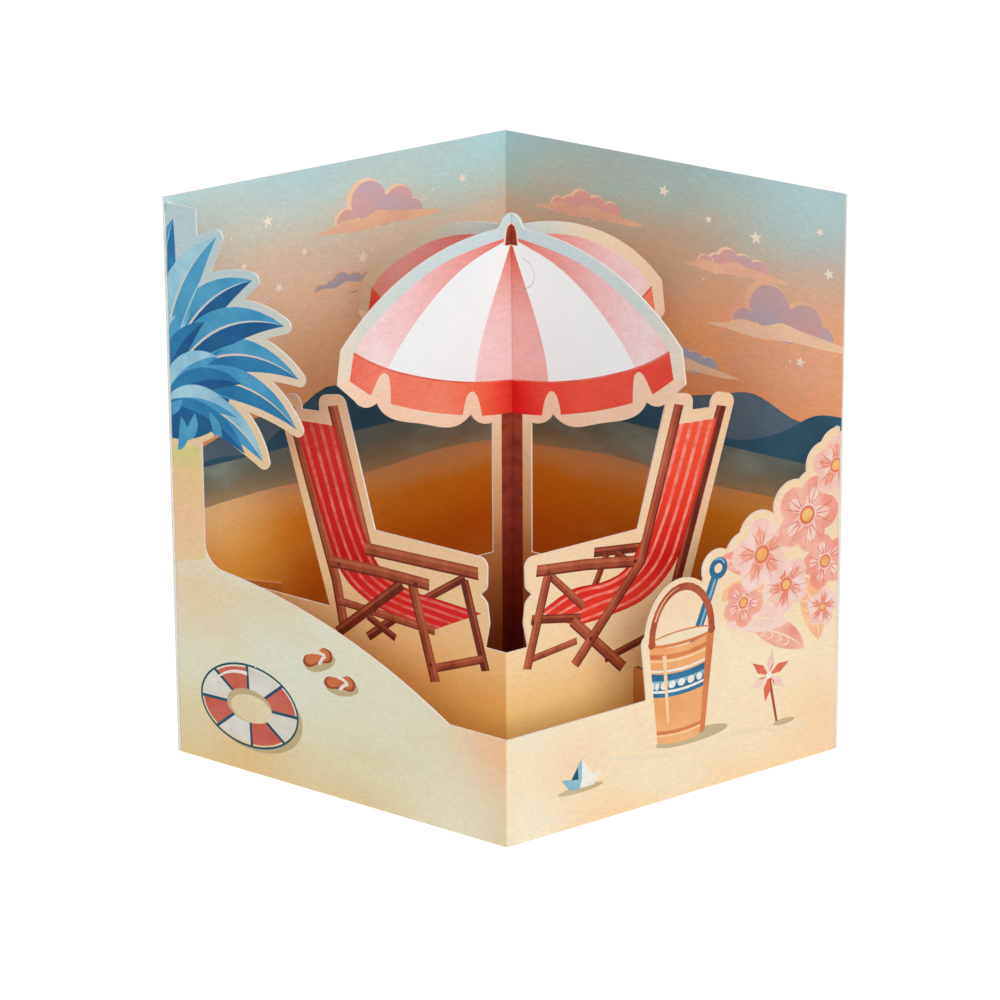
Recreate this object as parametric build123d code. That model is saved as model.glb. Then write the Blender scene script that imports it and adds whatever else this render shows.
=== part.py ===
from build123d import *
import os
from math import cos, radians, sin, tan

# Standing pop-up greeting card, cut and folded from card sheets. Seen from above it is a four-sided
# tube: a tall folded back sheet and a lower front sheet, joined at the left and right edges. Inside
# stands a row of two deck chairs, parallel to the front, and a parasol of two crossed cut-outs.
# X runs to the right, Y to the back fold, Z up from the table. The origin is at table level, halfway
# between the front and back folds.

# Card and sheets
card_height = 127.0
panel_width = 91.4
opening_angle = 105.8
sheet_t = 0.4
crease_radius = 0.15
inner_lift = 1.0
tab_taper = 4.0

# Front sheet, left panel: distances run from the left edge
side_flap_width = 8.0
side_strip_width = 9.2
side_strip_drop = 1.2
fold_sand_height = 24.2
dune_foot = 76.0
dune_middle = (46.0, 38.2)
dune_head = 45.2
window_radius = 5.5
grass_border = 1.7
grass_root = (0.0, 44.0)
grass_heart = (19.0, 15.0)
grass_heart_rise = 5.0
grass_blades = (
    (86.0, 41.0, 3.0, 9.0),
    (69.0, 41.5, 5.5, 9.0),
    (51.5, 39.5, 6.0, 8.5),
    (34.0, 40.0, 7.0, 8.5),
    (17.0, 38.5, 7.5, 8.0),
    (0.0, 36.0, 7.0, 7.5),
    (-19.0, 28.0, 4.5, 7.0),
)

# Front sheet, right panel: distances run from the right edge
flower_border = 1.8
flower_petals = 5
petal_place_share = 0.56
flowers = (
    ((22.5, 50.5), 8.4, 10.0),
    ((9.8, 56.8), 8.8, 40.0),
    ((1.8, 66.5), 6.8, 20.0),
)
flower_bed_edge = 62.0
flower_bed_end = (36.0, 49.0)
bucket_border = 1.9
bucket_centre = 44.5
bucket_rim = (18.0, 37.0)
bucket_base = (13.0, 13.0)
bucket_handle = (8.2, 11.0)
spade_foot = (41.0, 36.0)
spade_grip = (34.6, 50.0)
spade_grip_radius = 2.5
spade_width = 2.2
right_flap_top = 66.0

# Chair row: distances run outwards from its own fold, and a chair's heights from the top of the sand
row_setback = 14.0
row_sand_height = 37.3
row_tab_width = 14.1
chair_border = 2.2
chair_outline = (
    (44.8, -3.3),
    (59.4, 43.9),
    (57.4, 44.5),
    (56.8, 41.3),
    (47.8, 42.1),
    (48.0, 46.0),
    (45.0, 46.6),
    (37.0, 18.0),
    (7.2, 18.0),
    (7.3, 14.3),
    (10.2, 11.7),
    (7.2, 9.1),
    (6.8, 5.7),
    (8.6, -3.3),
)

# Parasol: points are a distance from the line where its two cut-outs cross, and a drop from its top
parasol_setback = 4.0
parasol_aside = 1.3
parasol_headroom = 2.8
finial_size = (3.5, 5.4)
finial_fillet = 1.4
rear_wing_share = 0.92
dome_drop = 3.0
dome_shoulder = (26.0, 8.0)
dome_rim = (44.6, 22.2)
hem_tip = (45.6, 29.6)
outer_scallop = ((41.2, 33.8), (38.6, 35.7))
outer_cusp = (35.6, 35.2)
long_scallop = ((33.6, 38.2), (24.0, 42.2), (14.6, 44.4))
inner_cusp = (11.1, 42.6)
short_scallop = (8.8, 45.0)
pole_drop = 45.6
pole_half_width = 5.3
slot_meeting_height = 64.8
slot_clearance = 0.06
front_arm_top = 49.0
rear_arm_top = 36.0
arm_tab_width = 8.0
lock_tab_reach = 3.0
lock_tab_radius = 3.3
lock_tab_drop = 12.8
kerf = 0.16

# Spacer struts between the chair row and the front sheet
strut_place = 33.9
strut_top = 26.2
strut_tab_width = 7.0

# Plan points and directions of the open card
half_angle = radians(opening_angle / 2)
to_right_back = Vector(sin(half_angle), cos(half_angle))
to_right_front = Vector(sin(half_angle), -cos(half_angle))
left_edge = Vector(-panel_width * sin(half_angle), 0)
right_edge = Vector(panel_width * sin(half_angle), 0)
back_fold = Vector(0, panel_width * cos(half_angle))
front_fold = Vector(0, -panel_width * cos(half_angle))
row_width = panel_width - row_setback
row_left = left_edge + to_right_back * row_setback
row_fold = row_left + to_right_front * row_width
crossing = Vector(parasol_aside, -parasol_setback)
mirrored_crossing = Vector(-parasol_aside, -parasol_setback)

# Heights of the upper edges
side_strip_top = card_height - side_strip_drop
parasol_top = card_height - parasol_headroom

# A cutter plate reaches past the sheet that it trims, and past the crease at each fold
plate_reach = 3 * sheet_t
crease_reach = 1.5


def left_of(direction):
    """Plan direction a quarter turn to the left."""
    return Vector(-direction.Y, direction.X)


def meet(start, direction, other_start, other_direction):
    """Plan point where two lines cross."""
    turn = direction.X * other_direction.Y - direction.Y * other_direction.X
    gap = other_start - start
    along = (gap.X * other_direction.Y - gap.Y * other_direction.X) / turn
    return start + direction * along


def sheet_profile(path):
    """Plan section of a folded sheet that lies to the left of a path, with rounded creases."""
    steps = [(end - start).normalized() for start, end in zip(path, path[1:])]
    shifted = [path[0] + left_of(steps[0]) * sheet_t]
    near_radii = []
    far_radii = []
    for corner, before, after in zip(path[1:-1], steps, steps[1:]):
        turns_left = before.X * after.Y - before.Y * after.X > 0
        near_radii.append(crease_radius + (sheet_t if turns_left else 0))
        far_radii.append(crease_radius + (0 if turns_left else sheet_t))
        start = corner + left_of(before) * sheet_t
        other = corner + left_of(after) * sheet_t
        shifted.append(meet(start, before, other, after))
    shifted.append(path[-1] + left_of(steps[-1]) * sheet_t)
    near_side = FilletPolyline(*path, radius=near_radii)
    far_side = FilletPolyline(*shifted, radius=far_radii)
    ends = [Line(path[0], shifted[0]), Line(path[-1], shifted[-1])]
    return make_face([*near_side.edges(), *far_side.edges(), *(end.edge() for end in ends)])


def panel_plane(start, direction):
    """Upright drawing plane: X along the panel from a plan point, Y upwards."""
    return Plane(
        origin=(start.X, start.Y, 0),
        x_dir=(direction.X, direction.Y, 0),
        z_dir=(direction.Y, -direction.X, 0),
    )


def plate(plane, outline):
    """Thick plate of a panel's outline, which keeps that part of a folded blank."""
    return extrude(plane * outline, amount=plate_reach, both=True)


def die_cut(path, plates):
    """Folded sheet along a plan path, kept only where one of the plates covers it."""
    blank = extrude(sheet_profile(path), amount=card_height)
    sheet = blank & plates[0]
    for extra in plates[1:]:
        sheet += blank & extra
    return sheet


def rectangle(left, bottom, right, top):
    """Upright rectangle by its edges."""
    return Pos(left, bottom) * Rectangle(right - left, top - bottom, align=Align.MIN)


def tab_outline(width, bottom, top):
    """Glue tab with slanted ends, drawn outwards from its fold."""
    return Polygon(
        (-crease_reach, bottom),
        (crease_reach, bottom),
        (width, bottom + tab_taper),
        (width, top - tab_taper),
        (crease_reach, top),
        (-crease_reach, top),
        align=None,
    )


def blade(root, lean, length, bow, width):
    """Grass blade: a lens between two arcs, leaning up from the level and bowed to its left."""
    start = Vector(*root)
    direction = Vector(cos(radians(lean)), sin(radians(lean)))
    end = start + direction * length
    side = left_of(direction)
    middle = (start + end) * 0.5 + side * bow
    upper = ThreePointArc(start, middle + side * (width / 2), end)
    lower = ThreePointArc(end, middle - side * (width / 2), start)
    return make_face([upper.edge(), lower.edge()])


def front_left_outline():
    """Left front panel: sand below, a strip up the side edge and a tuft of grass on it."""
    fold = panel_width + crease_reach
    window_corner = (side_strip_width, dune_head + window_radius)
    dune_top = (side_strip_width + window_radius, dune_head)
    edge = [
        Polyline((side_strip_width, side_strip_top), (0, side_strip_top), (0, 0), (fold, 0)),
        Polyline((fold, 0), (fold, fold_sand_height), (dune_foot, fold_sand_height)),
        ThreePointArc((dune_foot, fold_sand_height), dune_middle, dune_top),
        RadiusArc(dune_top, window_corner, window_radius),
        Line(window_corner, (side_strip_width, side_strip_top)),
    ]
    outline = make_face([piece for line in edge for piece in line.edges()])
    root = (grass_root[0], side_strip_top - grass_root[1])
    tuft = Pos(root[0], root[1] + grass_heart_rise) * Ellipse(*grass_heart)
    for lean, length, bow, width in grass_blades:
        tuft += offset(blade(root, lean, length, bow, width), amount=grass_border, kind=Kind.ARC)
    return outline + (tuft & rectangle(0, 0, panel_width, card_height))


def flower_outline(centre, radius, turn):
    """Round flower with a border: a ring of petals about its heart."""
    petal_place = petal_place_share * radius
    petal = Circle(radius - petal_place + flower_border)
    outline = Circle(petal_place)
    for place in PolarLocations(petal_place, flower_petals, turn):
        outline += place * petal
    return Pos(*centre) * outline


def front_right_outline():
    """Right front panel: sand, a toy bucket with a spade, and a bed of round flowers."""
    outline = rectangle(0, 0, panel_width + crease_reach, fold_sand_height)
    outline += Polygon((0, 0), (flower_bed_end[0], 0), flower_bed_end, (0, flower_bed_edge), align=None)
    for flower in flowers:
        outline += flower_outline(*flower)
    rim_half = bucket_rim[0] / 2
    base_half = bucket_base[0] / 2
    bucket = Polygon(
        (bucket_centre - rim_half, bucket_rim[1]),
        (bucket_centre - base_half, bucket_base[1]),
        (bucket_centre + base_half, bucket_base[1]),
        (bucket_centre + rim_half, bucket_rim[1]),
        align=None,
    )
    handle_size = [radius + bucket_border for radius in bucket_handle]
    foot, grip = Vector(*spade_foot), Vector(*spade_grip)
    side = left_of((grip - foot).normalized()) * (spade_width / 2)
    spade = Polygon(foot + side, foot - side, grip - side, grip + side, align=None)
    for toy in (bucket, spade):
        outline += offset(toy, amount=bucket_border, kind=Kind.ARC)
    outline += Pos(bucket_centre, bucket_rim[1]) * Ellipse(*handle_size)
    outline += Pos(*spade_grip) * Circle(spade_grip_radius + bucket_border)
    return outline & rectangle(0, 0, panel_width + crease_reach, card_height)


def chair_row_outline():
    """One half of the chair row, from its fold outwards: sand with a deck chair on it."""
    sand = rectangle(-crease_reach, inner_lift, row_width + crease_reach, row_sand_height)
    chair = offset(Polygon(*chair_outline, align=None), amount=chair_border, kind=Kind.ARC)
    return sand + Pos(0, row_sand_height) * chair


def parasol_outline():
    """Flat parasol on a pole: canopy with a scalloped hem and a shorter rear half, finial and pole."""
    pole_corner = (pole_half_width, pole_drop)

    def at(point, side=1):
        reach = rear_wing_share if side > 0 else 1
        return (side * reach * point[0], parasol_top - point[1])

    def half(side):
        """Canopy's edge from the knob over the dome and along the hem to the pole, on one side."""
        outer = [at(point, side) for point in (*outer_scallop, outer_cusp)]
        inner = [at(point, side) for point in (outer_cusp, *long_scallop, inner_cusp)]
        return [
            ThreePointArc(at((0, dome_drop)), at(dome_shoulder, side), at(dome_rim, side)),
            Line(at(dome_rim, side), at(hem_tip, side)),
            Line(at(hem_tip, side), outer[0]),
            ThreePointArc(*outer),
            Spline(*inner),
            ThreePointArc(at(inner_cusp, side), at(short_scallop, side), at(pole_corner, side)),
        ]

    foot = Line(at(pole_corner, -1), at(pole_corner))
    canopy = make_face([line.edge() for line in [*half(1), foot, *half(-1)]])
    finial = Pos(*at((0, finial_size[1]))) * Ellipse(*finial_size)
    pole = rectangle(-pole_half_width, inner_lift, pole_half_width, parasol_top - dome_rim[1])
    outline = canopy + finial + pole
    near_finial = outline.vertices().filter_by_position(Axis.X, -finial_size[0], finial_size[0])
    return fillet(near_finial.sort_by(Axis.Y)[-2:], finial_fillet)


def back_sheet():
    """Back sheet: two full-height panels with one fold at the rear."""
    blank = sheet_profile([right_edge, back_fold, left_edge])
    return extrude(blank, amount=card_height)


def front_sheet():
    """Front sheet: die-cut panels with a fold at the front and a glue flap at each side edge."""
    inside_left = left_edge + left_of(-to_right_back) * sheet_t
    inside_right = right_edge + left_of(-to_right_front) * sheet_t
    left_corner = meet(inside_left, to_right_back, left_edge, to_right_front)
    right_corner = meet(inside_right, to_right_front, right_edge, to_right_back)
    path = [
        inside_left + to_right_back * side_flap_width,
        left_corner,
        front_fold,
        right_corner,
        inside_right - to_right_front * side_flap_width,
    ]
    left_flap = tab_outline(side_flap_width, 0, side_strip_top)
    right_flap = tab_outline(side_flap_width, 0, right_flap_top)
    plates = [
        plate(panel_plane(left_edge, to_right_front), front_left_outline()),
        plate(panel_plane(right_edge, -to_right_back), front_right_outline()),
        plate(panel_plane(left_edge, to_right_back), left_flap),
        plate(panel_plane(right_edge, -to_right_front), right_flap),
    ]
    return die_cut(path, plates)


def chair_row():
    """Chair row: a folded strip parallel to the front, glued to the back sheet at both ends."""
    inside_left = left_edge + left_of(-to_right_back) * sheet_t
    left_corner = meet(inside_left, to_right_back, row_left, to_right_front)
    right_corner = Vector(-left_corner.X, left_corner.Y)
    left_end = left_corner + to_right_back * row_tab_width
    right_end = Vector(-left_end.X, left_end.Y)
    path = [left_end, left_corner, row_fold, right_corner, right_end]
    row_right = Vector(-row_left.X, row_left.Y)
    end_tab = tab_outline(row_tab_width, inner_lift, row_sand_height)
    plates = [
        plate(panel_plane(row_fold, -to_right_front), chair_row_outline()),
        plate(panel_plane(row_fold, to_right_back), chair_row_outline()),
        plate(panel_plane(row_left, to_right_back), end_tab),
        plate(panel_plane(row_right, -to_right_front), end_tab),
    ]
    return die_cut(path, plates)


def parasol_blank(middle):
    """Parasol cut-out from front left to rear right about its middle, before its slot is cut."""
    main_line = middle + left_of(to_right_back) * (sheet_t / 2)
    behind_row = row_fold + left_of(to_right_front) * sheet_t
    inside_back = back_fold - left_of(to_right_front) * (2 * sheet_t)
    front_corner = meet(main_line, to_right_back, behind_row, to_right_front)
    rear_corner = meet(main_line, to_right_back, inside_back, to_right_front)
    path = [
        rear_corner - to_right_front * arm_tab_width,
        rear_corner,
        front_corner,
        front_corner + to_right_front * arm_tab_width,
    ]
    front_reach = (front_corner - middle).length + crease_reach
    rear_reach = (rear_corner - middle).length + crease_reach
    front_arm = rectangle(-front_reach, inner_lift, 0, front_arm_top)
    rear_arm = rectangle(0, inner_lift, rear_reach, rear_arm_top)
    front_tab = tab_outline(arm_tab_width, inner_lift, front_arm_top)
    rear_tab = tab_outline(arm_tab_width, inner_lift, rear_arm_top)
    panel = panel_plane(middle, to_right_back)
    plates = [
        plate(panel, front_arm + rear_arm),
        plate(panel_plane(front_corner, to_right_front), front_tab),
        plate(panel_plane(rear_corner, -to_right_front), rear_tab),
    ]
    picture = extrude(panel * parasol_outline(), amount=sheet_t / 2, both=True)
    return picture + die_cut(path, plates)


def slot_width():
    """Width of a slot, cut square to its sheet, that the other cut-out crosses at an angle."""
    cross_angle = radians(180 - opening_angle)
    return sheet_t / sin(cross_angle) + sheet_t / tan(cross_angle) + 2 * slot_clearance


def parasol_a():
    """Cut-out from front left to rear right, slotted from below."""
    half_slot = slot_width() / 2
    slot = rectangle(-half_slot, 0, half_slot, slot_meeting_height)
    return parasol_blank(crossing) - plate(panel_plane(crossing, to_right_back), slot)


def parasol_b():
    """Cut-out from front right to rear left, slotted from above, with a small lock tab."""
    half_slot = slot_width() / 2
    slot = rectangle(-half_slot, slot_meeting_height, half_slot, card_height)
    lock_tab_height = parasol_top - lock_tab_drop
    tab_bottom = lock_tab_height - lock_tab_radius
    ring = Circle(lock_tab_radius + kerf / 2) - Circle(lock_tab_radius - kerf / 2)
    ring = Pos(lock_tab_reach, lock_tab_height) * ring
    ring &= rectangle(lock_tab_reach, 0, card_height, card_height)
    cut = ring + rectangle(0, tab_bottom - kerf / 2, lock_tab_reach, tab_bottom + kerf / 2)
    blank = mirror(parasol_blank(mirrored_crossing), about=Plane.YZ)
    return blank - plate(panel_plane(crossing, to_right_front), slot + cut)


def strut_right():
    """Spacer strip that joins the right half of the chair row to the right front panel."""
    row_corner = row_fold + to_right_back * strut_place
    inside_front = front_fold + left_of(to_right_back) * sheet_t
    front_corner = meet(row_corner, to_right_front, inside_front, to_right_back)
    path = [
        row_corner + to_right_back * strut_tab_width,
        row_corner,
        front_corner,
        front_corner + to_right_back * strut_tab_width,
    ]
    tab = tab_outline(strut_tab_width, inner_lift, strut_top)
    reach = (front_corner - row_corner).length + crease_reach
    plates = [
        plate(panel_plane(row_corner, to_right_back), tab),
        plate(panel_plane(row_corner, to_right_front), rectangle(-crease_reach, inner_lift, reach, strut_top)),
        plate(panel_plane(front_corner, to_right_back), tab),
    ]
    return die_cut(path, plates)


os.makedirs("parts", exist_ok=True)
right_strut = strut_right()
nodes = {
    "back_sheet": back_sheet(),
    "front_sheet": front_sheet(),
    "chair_row": chair_row(),
    "parasol_a": parasol_a(),
    "parasol_b": parasol_b(),
    "strut_left": mirror(right_strut, about=Plane.YZ),
    "strut_right": right_strut,
}
for name, shape in nodes.items():
    solid = shape.solids()[0] if len(shape.solids()) == 1 else shape
    solid.label = name
    export_step(solid, f"parts/{name}.step")
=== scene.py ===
from math import atan2, cos, pi, radians, sin, tan

import bmesh
import bpy
import numpy as np
from mathutils import Matrix, Vector
from mathutils.geometry import delaunay_2d_cdt


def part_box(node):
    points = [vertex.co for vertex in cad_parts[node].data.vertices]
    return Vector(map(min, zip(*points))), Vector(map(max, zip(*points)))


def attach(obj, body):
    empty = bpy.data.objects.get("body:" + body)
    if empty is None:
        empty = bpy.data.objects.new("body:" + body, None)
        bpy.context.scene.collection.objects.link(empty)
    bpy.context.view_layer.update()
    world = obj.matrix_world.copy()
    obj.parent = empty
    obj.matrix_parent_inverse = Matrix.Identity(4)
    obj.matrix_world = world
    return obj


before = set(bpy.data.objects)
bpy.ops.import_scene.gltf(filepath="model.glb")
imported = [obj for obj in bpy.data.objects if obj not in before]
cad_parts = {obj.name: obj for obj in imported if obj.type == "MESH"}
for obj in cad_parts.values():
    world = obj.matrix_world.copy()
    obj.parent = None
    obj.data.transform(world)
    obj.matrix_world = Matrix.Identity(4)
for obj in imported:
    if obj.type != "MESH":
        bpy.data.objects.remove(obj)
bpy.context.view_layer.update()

# Card stock
# White board, 0.4 mm thick, printed, die-cut, creased and folded. The bare board shows at every cut
# edge, on the glue tabs and on the sides that carry no print.
mm = 0.001


def linear(colour):
    """Linear light for a colour written as three display values up to 255."""
    shares = [part / 255 for part in colour]
    return [part / 12.92 if part <= 0.04045 else ((part + 0.055) / 1.055) ** 2.4 for part in shares] + [1.0]


def add_node(tree, kind, inputs, **settings):
    """New node in a tree. Each input takes a value, or a link where it is given a socket."""
    node = tree.nodes.new(kind)
    for name, setting in settings.items():
        setattr(node, name, setting)
    for key, value in inputs.items():
        if isinstance(value, bpy.types.NodeSocket):
            tree.links.new(value, node.inputs[key])
        else:
            node.inputs[key].default_value = value
    return node


def mottle(tree, place, scale, detail=4.0, stretch=None):
    """Soft noise over a place, from 0 to 1, stretched along an axis where asked."""
    if stretch:
        place = add_node(tree, "ShaderNodeMapping", {"Vector": place, "Scale": stretch}).outputs["Vector"]
    noise = {"Vector": place, "Scale": scale, "Detail": detail}
    return add_node(tree, "ShaderNodeTexNoise", noise).outputs["Fac"]


def remap(tree, value, low, high, to_low, to_high):
    """Value moved from one range to another, and held inside it."""
    numbers = {0: value, 1: low, 2: high, 3: to_low, 4: to_high}
    return add_node(tree, "ShaderNodeMapRange", numbers).outputs["Result"]


def mix(tree, share, first, second):
    """Mix of two colours, each a colour or a socket."""
    parts = {"Factor": share, 6: first, 7: second}
    return add_node(tree, "ShaderNodeMix", parts, data_type="RGBA").outputs[2]


def paper(name, roughness=0.62):
    """Material with the tooth of smooth paper: a fine, even bump on a dull surface."""
    material = bpy.data.materials.new(name)
    material.use_nodes = True
    tree = material.node_tree
    shader = tree.nodes["Principled BSDF"]
    shader.inputs["Roughness"].default_value = roughness
    shader.inputs["Specular IOR Level"].default_value = 0.25
    place = tree.nodes.new("ShaderNodeTexCoord").outputs["Object"]
    tooth = {"Strength": 0.12, "Distance": 0.00003, "Height": mottle(tree, place, 2600.0, 3.0)}
    tree.links.new(add_node(tree, "ShaderNodeBump", tooth).outputs["Normal"], shader.inputs["Normal"])
    return material, tree, place


def coat(tree, colour):
    """Gives a material's surface its colour."""
    tree.links.new(colour, tree.nodes["Principled BSDF"].inputs["Base Color"])


def bare_board():
    """Uncoated white board with faint fibres."""
    material, tree, place = paper("card_board", 0.7)
    fibre = remap(tree, mottle(tree, place, 900.0, 6.0), 0.35, 0.7, 0.0, 1.0)
    coat(tree, mix(tree, fibre, linear((247, 245, 240)), linear((238, 235, 228))))
    return material


board = bare_board()
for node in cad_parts.values():
    for slot in node.material_slots:
        slot.material = board

# Back sheet
# One tall sheet folded once at the rear. The evening sky, the far hills, the sea and the beach are
# printed on its inner side in soft, grainy colours, and its outer side is bare board.
opening_angle = 105.8
sheet_thickness = 0.4
inner_crease = 0.15
outer_crease = 0.55
film = 0.03
edge_margin = 0.15
_, high_corner = (Vector(corner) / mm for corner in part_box("back_sheet"))
half_angle = radians(opening_angle / 2)
to_back = Vector((sin(half_angle), cos(half_angle)))
to_front = Vector((sin(half_angle), -cos(half_angle)))
panel_width = high_corner.x / sin(half_angle)
card_height = high_corner.z
left_edge = Vector((-high_corner.x, 0))
right_edge = Vector((high_corner.x, 0))
back_fold = Vector((0, panel_width * cos(half_angle)))
front_fold = -back_fold


def right_of(direction):
    """Plan direction a quarter turn to the right."""
    return Vector((direction.y, -direction.x))


def rounded_path(corners, radius, steps=6):
    """Path of a folded sheet in plan: (distance along the sharp corners, point), round at each corner."""
    knots = [(0, corners[0])]
    travelled = 0
    for before, corner, after in zip(corners, corners[1:], corners[2:]):
        travelled += (corner - before).length
        arriving = (corner - before).normalized()
        leaving = (after - corner).normalized()
        turn = atan2(arriving.x * leaving.y - arriving.y * leaving.x, arriving.dot(leaving))
        reach = radius * tan(abs(turn) / 2)
        spoke = right_of(arriving) * (radius if turn > 0 else -radius)
        centre = corner - arriving * reach - spoke
        for step in range(steps + 1):
            share = step / steps
            point = centre + Matrix.Rotation(turn * share, 2) @ spoke
            knots.append((travelled - reach + 2 * reach * share, point))
    knots.append((travelled + (corners[-1] - corners[-2]).length, corners[-1]))
    return [knots[0]] + [knot for last, knot in zip(knots, knots[1:]) if knot[0] - last[0] > 0.001]


def unrolled(knots, point):
    """Distance along a path, distance off it and the way it faces, at its place nearest to a point."""
    nearest = None
    for (start_at, start), (end_at, end) in zip(knots, knots[1:]):
        step = end - start
        share = min(max((point - start).dot(step) / step.length_squared, 0), 1)
        away = (point - start - step * share).length
        if nearest is None or away < nearest[1]:
            nearest = (start_at + (end_at - start_at) * share, away, right_of(step).normalized())
    return nearest


def rolled(knots, along):
    """Plan point at a distance along a path."""
    for (start_at, start), (end_at, end) in zip(knots, knots[1:]):
        if along <= end_at:
            break
    return start.lerp(end, (along - start_at) / (end_at - start_at))


def faces_on_path(sheet, knots):
    """Faces of a sheet that lie on a path and look the way it faces, in the order of its mesh."""
    farthest_off, least_alike = 0.03, 0.7
    found = []
    for face in sheet.faces:
        _, away, facing = unrolled(knots, face.calc_center_median().xy / mm)
        if away < farthest_off and face.normal.xy.dot(facing) > least_alike:
            found.append(face)
    return found


def side_outlines(node, knots):
    """Outlines of one side of a die-cut sheet, unrolled flat: (distance along the path, height)."""
    sheet = bmesh.new()
    sheet.from_mesh(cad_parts[node].data)
    bmesh.ops.remove_doubles(sheet, verts=sheet.verts, dist=0.001 * mm)
    side = faces_on_path(sheet, knots)
    on_side = set(side)
    following = {}
    for face in side:
        for corner in face.loops:
            if not any(other in on_side for other in corner.edge.link_faces if other is not face):
                following[corner.vert] = corner.link_loop_next.vert
    outlines = []
    while following:
        vertex = next(iter(following))
        outline = []
        while vertex in following:
            outline.append((unrolled(knots, vertex.co.xy / mm)[0], vertex.co.z / mm))
            vertex = following.pop(vertex)
        outlines.append(outline)
    sheet.free()
    return outlines


class Print:
    """Print on one side of a sheet: fields of colour, drawn flat in millimetres and painted in turn."""

    def __init__(self, node, corners, radius, ground):
        self.node = node
        self.knots = rounded_path(corners, radius)
        self.outlines = side_outlines(node, self.knots)
        self.length = self.knots[-1][0]
        self.ground = ground
        self.fields = []
        self.place = lambda along: along

    def paint(self, ink, outline, inside=None):
        """Adds a field. Where `inside` names an earlier field, it is cut off at that field's edge."""
        self.fields.append((ink, [(self.place(along), height) for along, height in outline], inside))
        return len(self.fields) - 1

    def press(self, name):
        """Mesh of the print: each field keeps its own ink, and the film lies on the sheet."""
        fields = [outline for _, outline, _ in self.fields]
        points = []
        edges = []
        for shape in self.outlines + fields:
            first = len(points)
            points.extend(Vector(point) for point in shape)
            edges.extend((at, at + 1) for at in range(first, len(points) - 1))
            edges.append((len(points) - 1, first))
        for along, _ in self.knots[1:-1]:
            edges.append((len(points), len(points) + 1))
            points.extend((Vector((along, -1)), Vector((along, card_height + 1))))
        places, _, cells, _, _, _ = delaunay_2d_cdt(points, edges, [], 0, 0.0005, False)
        triangles = [[places[corner] for corner in cell] for cell in cells]
        middles = np.array([sum(corners, Vector((0, 0))) / 3 for corners in triangles])
        on_sheet = np.any([within(outline, middles) for outline in self.outlines], axis=0)
        covered = [within(field, middles) for field in fields]
        inks = [self.ground]
        ink_of = np.zeros(len(cells), dtype=int)
        for (colour, _, inside), cover in zip(self.fields, covered):
            if colour not in inks:
                inks.append(colour)
            ink_of[cover if inside is None else cover & covered[inside]] = inks.index(colour)
        mesh = bmesh.new()
        vertices = {}
        for cell, colour in zip(np.array(cells)[on_sheet].tolist(), ink_of[on_sheet].tolist()):
            for corner in cell:
                if corner not in vertices:
                    plan = rolled(self.knots, places[corner].x) * mm
                    vertices[corner] = mesh.verts.new((plan.x, plan.y, places[corner].y * mm))
            mesh.faces.new([vertices[corner] for corner in cell]).material_index = colour
        data = bpy.data.meshes.new(name)
        mesh.to_mesh(data)
        mesh.free()
        for colour in inks:
            data.materials.append(colour)
        return laid_on(name, data)


def within(outline, points):
    """Which points lie inside an outline."""
    inside = np.zeros(len(points), dtype=bool)
    for (x0, y0), (x1, y1) in zip(outline, [*outline[1:], outline[0]]):
        if y0 == y1:
            continue
        level = (y0 > points[:, 1]) != (y1 > points[:, 1])
        inside ^= level & (points[:, 0] < x0 + (points[:, 1] - y0) * (x1 - x0) / (y1 - y0))
    return inside


def laid_on(name, data):
    """Piece made of a print's mesh, given the thickness of the ink film and fixed to the card."""
    piece = bpy.data.objects.new(name, data)
    bpy.context.scene.collection.objects.link(piece)
    wall = piece.modifiers.new("film", "SOLIDIFY")
    wall.thickness = film * mm
    wall.offset = 1
    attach(piece, "root")
    return piece


def finish_ink(tree, place, shade, grain):
    """Adds the grain of painted paper, both fine and streaky, to a colour."""
    layers = (mottle(tree, place, 1900, 5), mottle(tree, place, 520, 6, (1, 1, 3.2)))
    speck, brush = (remap(tree, layer, 0.3, 0.7, 1 - grain, 1 + grain) for layer in layers)
    tone = add_node(tree, "ShaderNodeMath", {0: speck, 1: brush}, operation="MULTIPLY").outputs[0]
    grained = add_node(tree, "ShaderNodeVectorMath", {0: shade, "Scale": tone}, operation="SCALE")
    coat(tree, grained.outputs[0])


def ink(name, colour, other, patch, stretch=None, grain=0.04):
    """Printed ink: a colour that drifts to another in soft patches, with a fine grain on top."""
    material, tree, place = paper(name)
    drift = remap(tree, mottle(tree, place, patch, 5, stretch), 0.36, 0.66, 0, 1)
    finish_ink(tree, place, mix(tree, drift, linear(colour), linear(other)), grain)
    return material


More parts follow.
